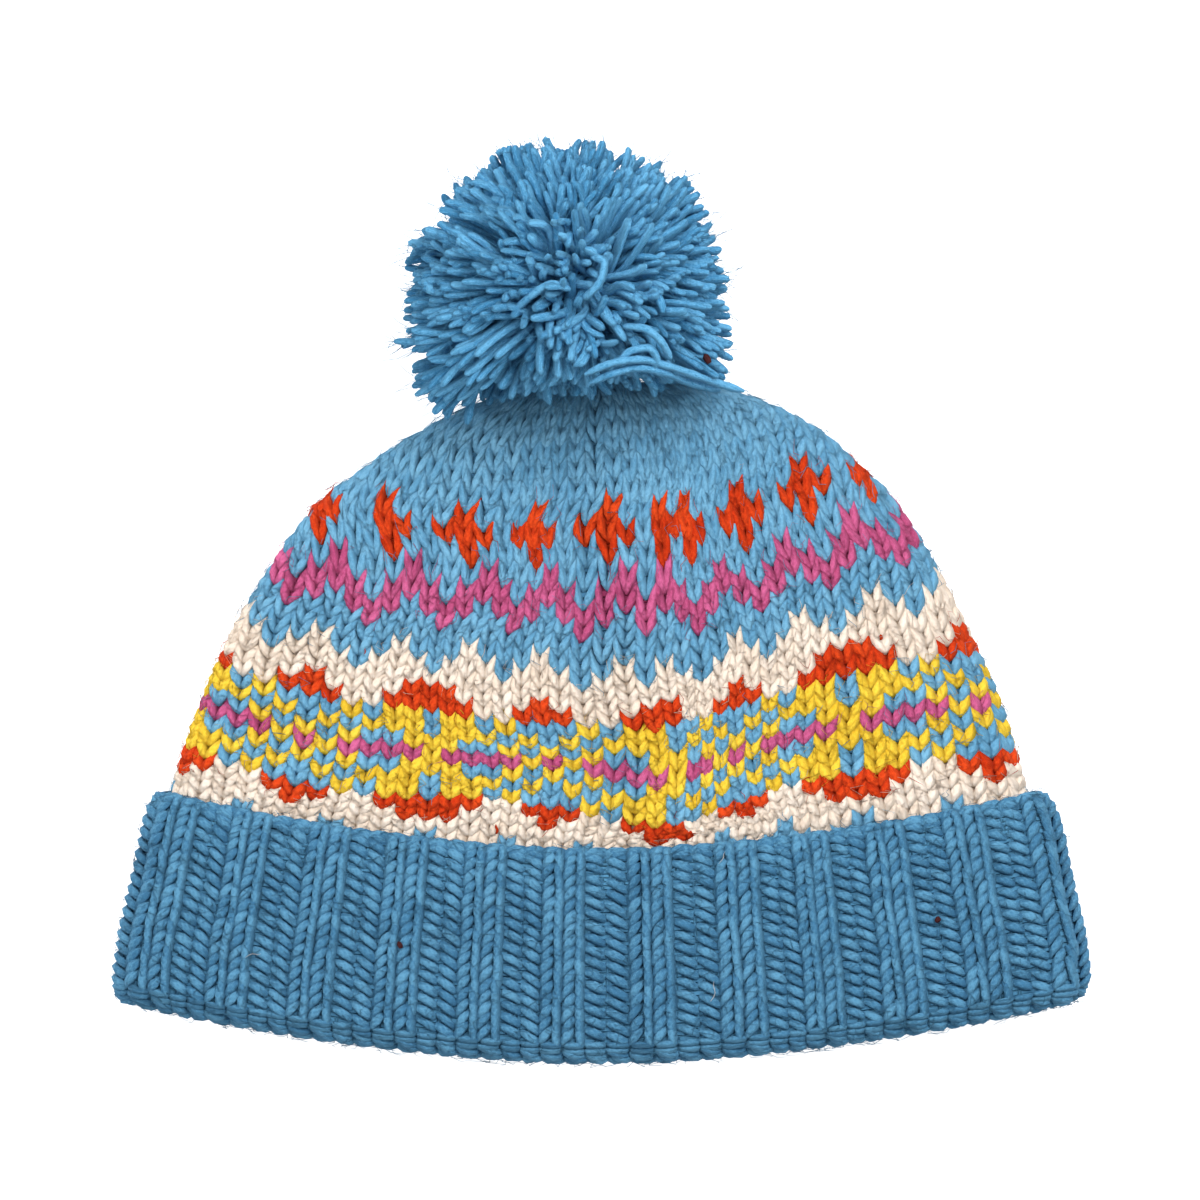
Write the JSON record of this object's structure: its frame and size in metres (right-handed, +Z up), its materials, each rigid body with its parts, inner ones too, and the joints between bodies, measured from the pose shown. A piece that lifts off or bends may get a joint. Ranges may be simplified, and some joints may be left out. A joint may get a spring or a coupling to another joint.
{
  "type": "bobble hat",
  "caption": "Knitted bobble hat lying flat: gathered crown open at the head hole, wide turned-up ribbed cuff, shaggy yarn pompom on top",
  "frame": {"origin": "centre of the underside's box, on the floor that the hat lies on", "axes": "X across the flattened hat, Y along its axis from the head hole to the pompom, Z up through its thickness"},
  "size_m": [0.2518, 0.2394, 0.0683],
  "materials": {
    "crown_knit": "chunky wool knit in blue with a pattern in cream, orange-red, yellow and magenta, matt and slightly fuzzy",
    "cuff_rib": "blue wool knitted in ribs, matt and slightly fuzzy",
    "pompom_yarn": "loose cut strands of blue wool yarn, matt"
  },
  "bodies": {
    "root": {"crown": "crown_knit", "cuff": "cuff_rib", "pompom": "pompom_yarn"}
  },
  "joints": []
}
